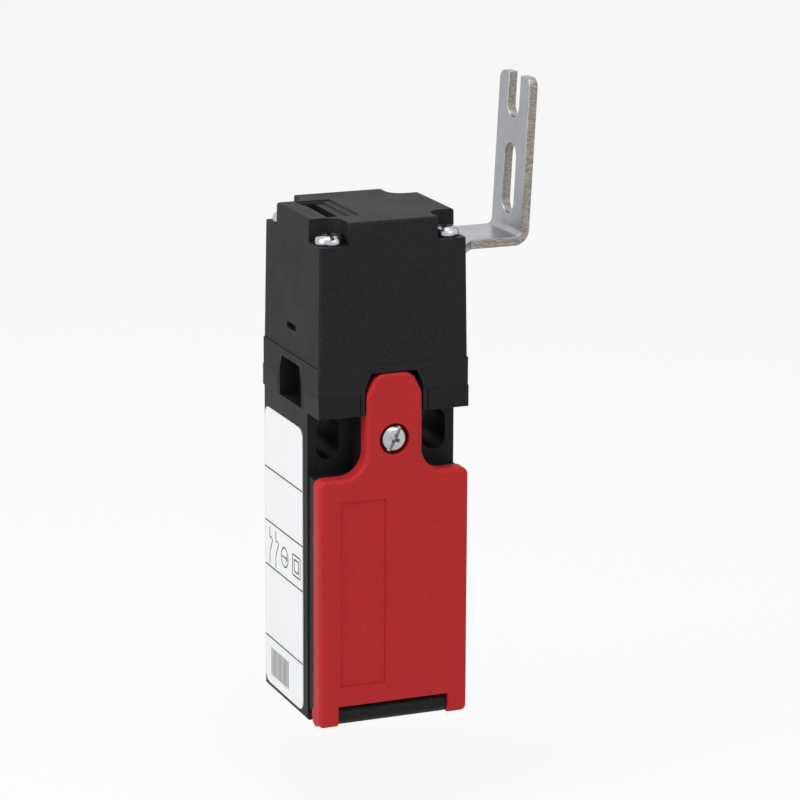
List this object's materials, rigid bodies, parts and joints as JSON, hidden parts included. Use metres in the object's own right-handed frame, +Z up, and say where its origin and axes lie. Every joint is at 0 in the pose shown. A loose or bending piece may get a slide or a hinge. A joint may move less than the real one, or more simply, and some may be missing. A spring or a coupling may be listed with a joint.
{
  "type": "tongue interlock switch",
  "caption": "Slim guard-door safety switch with a black turnable key head, a red hinged lid, a side nameplate and a bent steel tongue key in its side slot.",
  "frame": {"origin": "middle of the back mounting face's two fixing slots", "axes": "+Z up towards the head, +Y out of the back mounting face, +X to the side the key enters; the lid faces -Y"},
  "size_m": [0.0487, 0.0314, 0.124],
  "materials": {
    "head_plastic": "fine grained black glass-filled moulding",
    "body_plastic": "black glass-filled moulding",
    "lid_plastic": "red fine-textured moulding",
    "stainless": "satin rolled stainless sheet with brushed cut edges",
    "zinc_steel": "bright zinc plated",
    "plain_steel": "ground steel",
    "cam_plastic": "natural acetal",
    "block_plastic": "grey moulding",
    "carrier_plastic": "ivory moulding",
    "brass_metal": "turned brass",
    "contact_copper": "stamped copper alloy",
    "silver_tip": "silver alloy",
    "seal_rubber": "soft black rubber",
    "label_film": "white printed film"
  },
  "bodies": {
    "housing": {"body_housing": "body_plastic", "head_housing": "head_plastic", "nameplate": "label_film", "cam_axle": "plain_steel", "plunger_guide": "block_plastic", "plunger_seal": "seal_rubber", "head_gasket": "seal_rubber", "head_screws": "zinc_steel", "head_inserts": "brass_metal", "lid_insert": "brass_metal", "hinge_pin": "plain_steel", "contact_base": "block_plastic", "contact_cap": "block_plastic", "fixed_contacts": "contact_copper", "fixed_tips": "silver_tip", "terminal_screws": "zinc_steel", "terminal_clamps": "zinc_steel", "block_screws": "zinc_steel", "return_spring": "plain_steel"},
    "lid": {"front_lid": "lid_plastic", "lid_screw": "zinc_steel", "lid_screw_seal": "seal_rubber", "lid_gasket": "seal_rubber"},
    "key": {"actuator_key": "stainless"},
    "cam": {"cam_wheel": "cam_plastic"},
    "plunger": {"head_plunger": "carrier_plastic"},
    "carrier": {"contact_carrier": "carrier_plastic", "contact_bridges": "contact_copper", "bridge_springs": "plain_steel", "moving_tips": "silver_tip"}
  },
  "joints": [
    {"name": "lid_hinge", "type": "hinge", "parent": "housing", "child": "lid", "pos_m": [0, -0.0288, -0.05445], "axis": [1, 0, 0], "range_deg": [0, 100]},
    {"name": "key_slide", "type": "slide", "parent": "housing", "child": "key", "axis": [1, 0, 0], "range_m": [0, 0.01]},
    {"name": "cam_turn", "type": "hinge", "parent": "housing", "child": "cam", "pos_m": [0, -0.0155, 0.0268], "axis": [0, 1, 0], "range_deg": [0, 59.5]},
    {"name": "plunger_slide", "type": "slide", "parent": "housing", "child": "plunger", "axis": [0, 0, -1], "range_m": [0, 0.00298]},
    {"name": "carrier_slide", "type": "slide", "parent": "housing", "child": "carrier", "axis": [0, 0, -1], "range_m": [0, 0.00298], "deforming": ["return_spring"]}
  ],
  "couplings": [
    {"joint": "cam_turn", "follows": "key_slide", "rad_per_m": 103.83},
    {"joint": "plunger_slide", "follows": "key_slide", "ratio": 0.2977},
    {"joint": "carrier_slide", "follows": "key_slide", "ratio": 0.2977}
  ]
}
